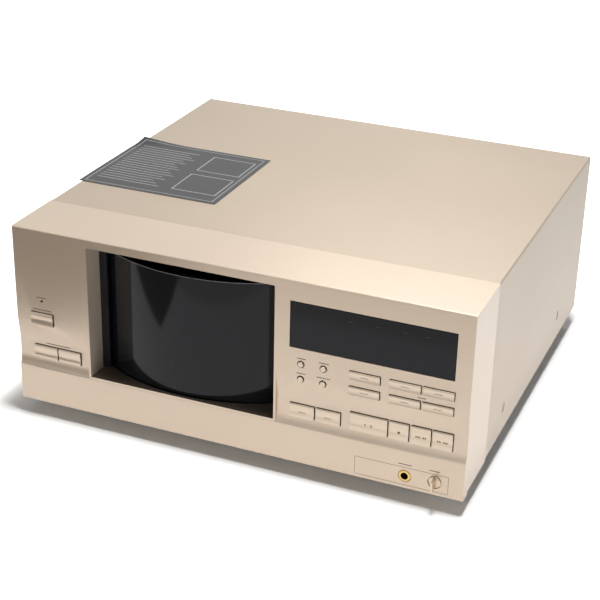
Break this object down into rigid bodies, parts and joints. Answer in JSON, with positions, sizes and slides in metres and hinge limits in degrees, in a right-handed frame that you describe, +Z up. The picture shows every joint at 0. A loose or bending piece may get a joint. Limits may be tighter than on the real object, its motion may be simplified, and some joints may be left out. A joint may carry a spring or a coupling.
{
  "type": "disc changer player",
  "caption": "Box-shaped disc changer with a rotary disc rack behind a curved turning door, a display window, a key field, a headphone socket and a level knob.",
  "frame": {"origin": "on the surface it stands on, under the middle of its overall box", "axes": "+Z up, +X to the right seen from the front, +Y from the front to the back"},
  "size_m": [0.42, 0.413, 0.185],
  "materials": {
    "fascia": "satin champagne",
    "cover": "satin champagne",
    "key": "satin champagne",
    "rear": "satin",
    "steel": "zinc plated",
    "rod_steel": "ground",
    "screw": "satin",
    "black_plastic": "fine grain",
    "rack_plastic": "moulded",
    "door_plastic": "polished smoked",
    "display_glass": "polished smoked",
    "tube_glass": "clear",
    "board": "solder mask",
    "core": "varnished",
    "motor_can": "drawn",
    "gear_plastic": "moulded",
    "jack_brass": "polished",
    "jack_plate": "plated",
    "lamp": "clear",
    "foot": "moulded",
    "rubber": "matt"
  },
  "bodies": {
    "cabinet": {"base_chassis": "steel", "feet": "foot", "foot_pads": "rubber", "top_cover": "cover", "front_panel": "fascia", "rear_panel": "rear", "window_frame": "black_plastic", "display_lens": "display_glass", "display_tube": "tube_glass", "front_boards": "board", "phones_jack": "jack_brass", "power_led": "lamp", "cover_screws": "screw", "rear_screws": "screw", "line_jacks": "jack_plate", "optical_socket": "black_plastic", "control_jacks": "black_plastic", "cord_bush": "rubber", "main_board": "board", "power_transformer": "core", "carousel_post": "steel", "carousel_motor": "motor_can", "door_rail": "black_plastic", "door_motor": "motor_can", "mech_frame": "steel", "guide_rods": "rod_steel", "spindle_motor": "motor_can", "loading_motor": "motor_can"},
    "carousel": {"carousel_tray": "rack_plastic", "carousel_column": "rack_plastic"},
    "carousel_drive": {"carousel_gear": "gear_plastic"},
    "door": {"rotary_door": "door_plastic"},
    "door_drive": {"door_gear": "gear_plastic"},
    "volume_knob": {"level_knob": "key"},
    "disc_spindle": {"turntable": "gear_plastic"},
    "sled": {"pickup_sled": "black_plastic"},
    "clamp": {"clamp_arm": "steel"},
    "puck": {"clamp_puck": "black_plastic"},
    "loader": {"loading_arm": "gear_plastic"},
    "power_key_body": {"power_key": "key"},
    "left_key_a_body": {"left_key_a": "key"},
    "left_key_b_body": {"left_key_b": "key"},
    "small_key_upper_a_body": {"small_key_upper_a": "key"},
    "small_key_upper_b_body": {"small_key_upper_b": "key"},
    "small_key_upper_c_body": {"small_key_upper_c": "key"},
    "small_key_lower_a_body": {"small_key_lower_a": "key"},
    "small_key_lower_b_body": {"small_key_lower_b": "key"},
    "small_key_lower_c_body": {"small_key_lower_c": "key"},
    "wide_key_a_body": {"wide_key_a": "key"},
    "wide_key_b_body": {"wide_key_b": "key"},
    "play_key_body": {"play_key": "key"},
    "stop_key_body": {"stop_key": "key"},
    "previous_key_body": {"previous_key": "key"},
    "next_key_body": {"next_key": "key"},
    "round_key_a_body": {"round_key_a": "key"},
    "round_key_b_body": {"round_key_b": "key"},
    "round_key_c_body": {"round_key_c": "key"},
    "round_key_d_body": {"round_key_d": "key"}
  },
  "joints": [
    {"name": "power_key_press", "type": "slide", "parent": "cabinet", "child": "power_key_body", "axis": [0, 1, 0], "range_m": [0, 0.001], "stiffness_N_per_m": 400, "springref_m": -0.0008},
    {"name": "left_key_a_press", "type": "slide", "parent": "cabinet", "child": "left_key_a_body", "axis": [0, 1, 0], "range_m": [0, 0.001], "stiffness_N_per_m": 400, "springref_m": -0.0008},
    {"name": "left_key_b_press", "type": "slide", "parent": "cabinet", "child": "left_key_b_body", "axis": [0, 1, 0], "range_m": [0, 0.001], "stiffness_N_per_m": 400, "springref_m": -0.0008},
    {"name": "small_key_upper_a_press", "type": "slide", "parent": "cabinet", "child": "small_key_upper_a_body", "axis": [0, 1, 0], "range_m": [0, 0.001], "stiffness_N_per_m": 400, "springref_m": -0.0008},
    {"name": "small_key_upper_b_press", "type": "slide", "parent": "cabinet", "child": "small_key_upper_b_body", "axis": [0, 1, 0], "range_m": [0, 0.001], "stiffness_N_per_m": 400, "springref_m": -0.0008},
    {"name": "small_key_upper_c_press", "type": "slide", "parent": "cabinet", "child": "small_key_upper_c_body", "axis": [0, 1, 0], "range_m": [0, 0.001], "stiffness_N_per_m": 400, "springref_m": -0.0008},
    {"name": "small_key_lower_a_press", "type": "slide", "parent": "cabinet", "child": "small_key_lower_a_body", "axis": [0, 1, 0], "range_m": [0, 0.001], "stiffness_N_per_m": 400, "springref_m": -0.0008},
    {"name": "small_key_lower_b_press", "type": "slide", "parent": "cabinet", "child": "small_key_lower_b_body", "axis": [0, 1, 0], "range_m": [0, 0.001], "stiffness_N_per_m": 400, "springref_m": -0.0008},
    {"name": "small_key_lower_c_press", "type": "slide", "parent": "cabinet", "child": "small_key_lower_c_body", "axis": [0, 1, 0], "range_m": [0, 0.001], "stiffness_N_per_m": 400, "springref_m": -0.0008},
    {"name": "wide_key_a_press", "type": "slide", "parent": "cabinet", "child": "wide_key_a_body", "axis": [0, 1, 0], "range_m": [0, 0.001], "stiffness_N_per_m": 400, "springref_m": -0.0008},
    {"name": "wide_key_b_press", "type": "slide", "parent": "cabinet", "child": "wide_key_b_body", "axis": [0, 1, 0], "range_m": [0, 0.001], "stiffness_N_per_m": 400, "springref_m": -0.0008},
    {"name": "play_key_press", "type": "slide", "parent": "cabinet", "child": "play_key_body", "axis": [0, 1, 0], "range_m": [0, 0.001], "stiffness_N_per_m": 400, "springref_m": -0.0008},
    {"name": "stop_key_press", "type": "slide", "parent": "cabinet", "child": "stop_key_body", "axis": [0, 1, 0], "range_m": [0, 0.001], "stiffness_N_per_m": 400, "springref_m": -0.0008},
    {"name": "previous_key_press", "type": "slide", "parent": "cabinet", "child": "previous_key_body", "axis": [0, 1, 0], "range_m": [0, 0.001], "stiffness_N_per_m": 400, "springref_m": -0.0008},
    {"name": "next_key_press", "type": "slide", "parent": "cabinet", "child": "next_key_body", "axis": [0, 1, 0], "range_m": [0, 0.001], "stiffness_N_per_m": 400, "springref_m": -0.0008},
    {"name": "round_key_a_press", "type": "slide", "parent": "cabinet", "child": "round_key_a_body", "axis": [0, 1, 0], "range_m": [0, 0.001], "stiffness_N_per_m": 400, "springref_m": -0.0008},
    {"name": "round_key_b_press", "type": "slide", "parent": "cabinet", "child": "round_key_b_body", "axis": [0, 1, 0], "range_m": [0, 0.001], "stiffness_N_per_m": 400, "springref_m": -0.0008},
    {"name": "round_key_c_press", "type": "slide", "parent": "cabinet", "child": "round_key_c_body", "axis": [0, 1, 0], "range_m": [0, 0.001], "stiffness_N_per_m": 400, "springref_m": -0.0008},
    {"name": "round_key_d_press", "type": "slide", "parent": "cabinet", "child": "round_key_d_body", "axis": [0, 1, 0], "range_m": [0, 0.001], "stiffness_N_per_m": 400, "springref_m": -0.0008},
    {"name": "carousel_spin", "type": "hinge", "parent": "cabinet", "child": "carousel", "pos_m": [-0.049, -0.0355, 0.04], "axis": [0, 0, 1], "continuous": true},
    {"name": "carousel_drive_spin", "type": "hinge", "parent": "cabinet", "child": "carousel_drive", "pos_m": [-0.12749, 0.04299, 0.03], "axis": [0, 0, 1], "continuous": true},
    {"name": "door_turn", "type": "hinge", "parent": "cabinet", "child": "door", "pos_m": [-0.049, -0.0355, 0.035], "axis": [0, 0, 1], "range_deg": [0, 74]},
    {"name": "door_drive_spin", "type": "hinge", "parent": "cabinet", "child": "door_drive", "pos_m": [0.0725, -0.1449, 0.029], "axis": [0, 0, 1], "range_deg": [-1320, 10]},
    {"name": "volume_turn", "type": "hinge", "parent": "cabinet", "child": "volume_knob", "pos_m": [0.185, -0.1975, 0.0273], "axis": [0, -1, 0], "range_deg": [-300, 0]},
    {"name": "disc_spindle_spin", "type": "hinge", "parent": "cabinet", "child": "disc_spindle", "pos_m": [0.11353, 0.1068, 0.106], "axis": [0.6691, -0.7431, 0], "continuous": true},
    {"name": "sled_travel", "type": "slide", "parent": "cabinet", "child": "sled", "axis": [0.7431, 0.6691, 0], "range_m": [0, 0.035]},
    {"name": "clamp_tilt", "type": "hinge", "parent": "cabinet", "child": "clamp", "pos_m": [0.10349, 0.11795, 0.171], "axis": [0.7431, 0.6691, 0], "range_deg": [-4, 0]},
    {"name": "puck_spin", "type": "hinge", "parent": "clamp", "child": "puck", "pos_m": [0.10349, 0.11795, 0.106], "axis": [0.6691, -0.7431, 0], "continuous": true},
    {"name": "loader_swing", "type": "hinge", "parent": "cabinet", "child": "loader", "pos_m": [0.10971, 0.11104, 0.034], "axis": [0.6691, -0.7431, 0], "range_deg": [-28, 0]}
  ],
  "couplings": [
    {"joint": "carousel_drive_spin", "follows": "carousel_spin", "ratio": -8.25},
    {"joint": "door_drive_spin", "follows": "door_turn", "ratio": -17.167}
  ]
}
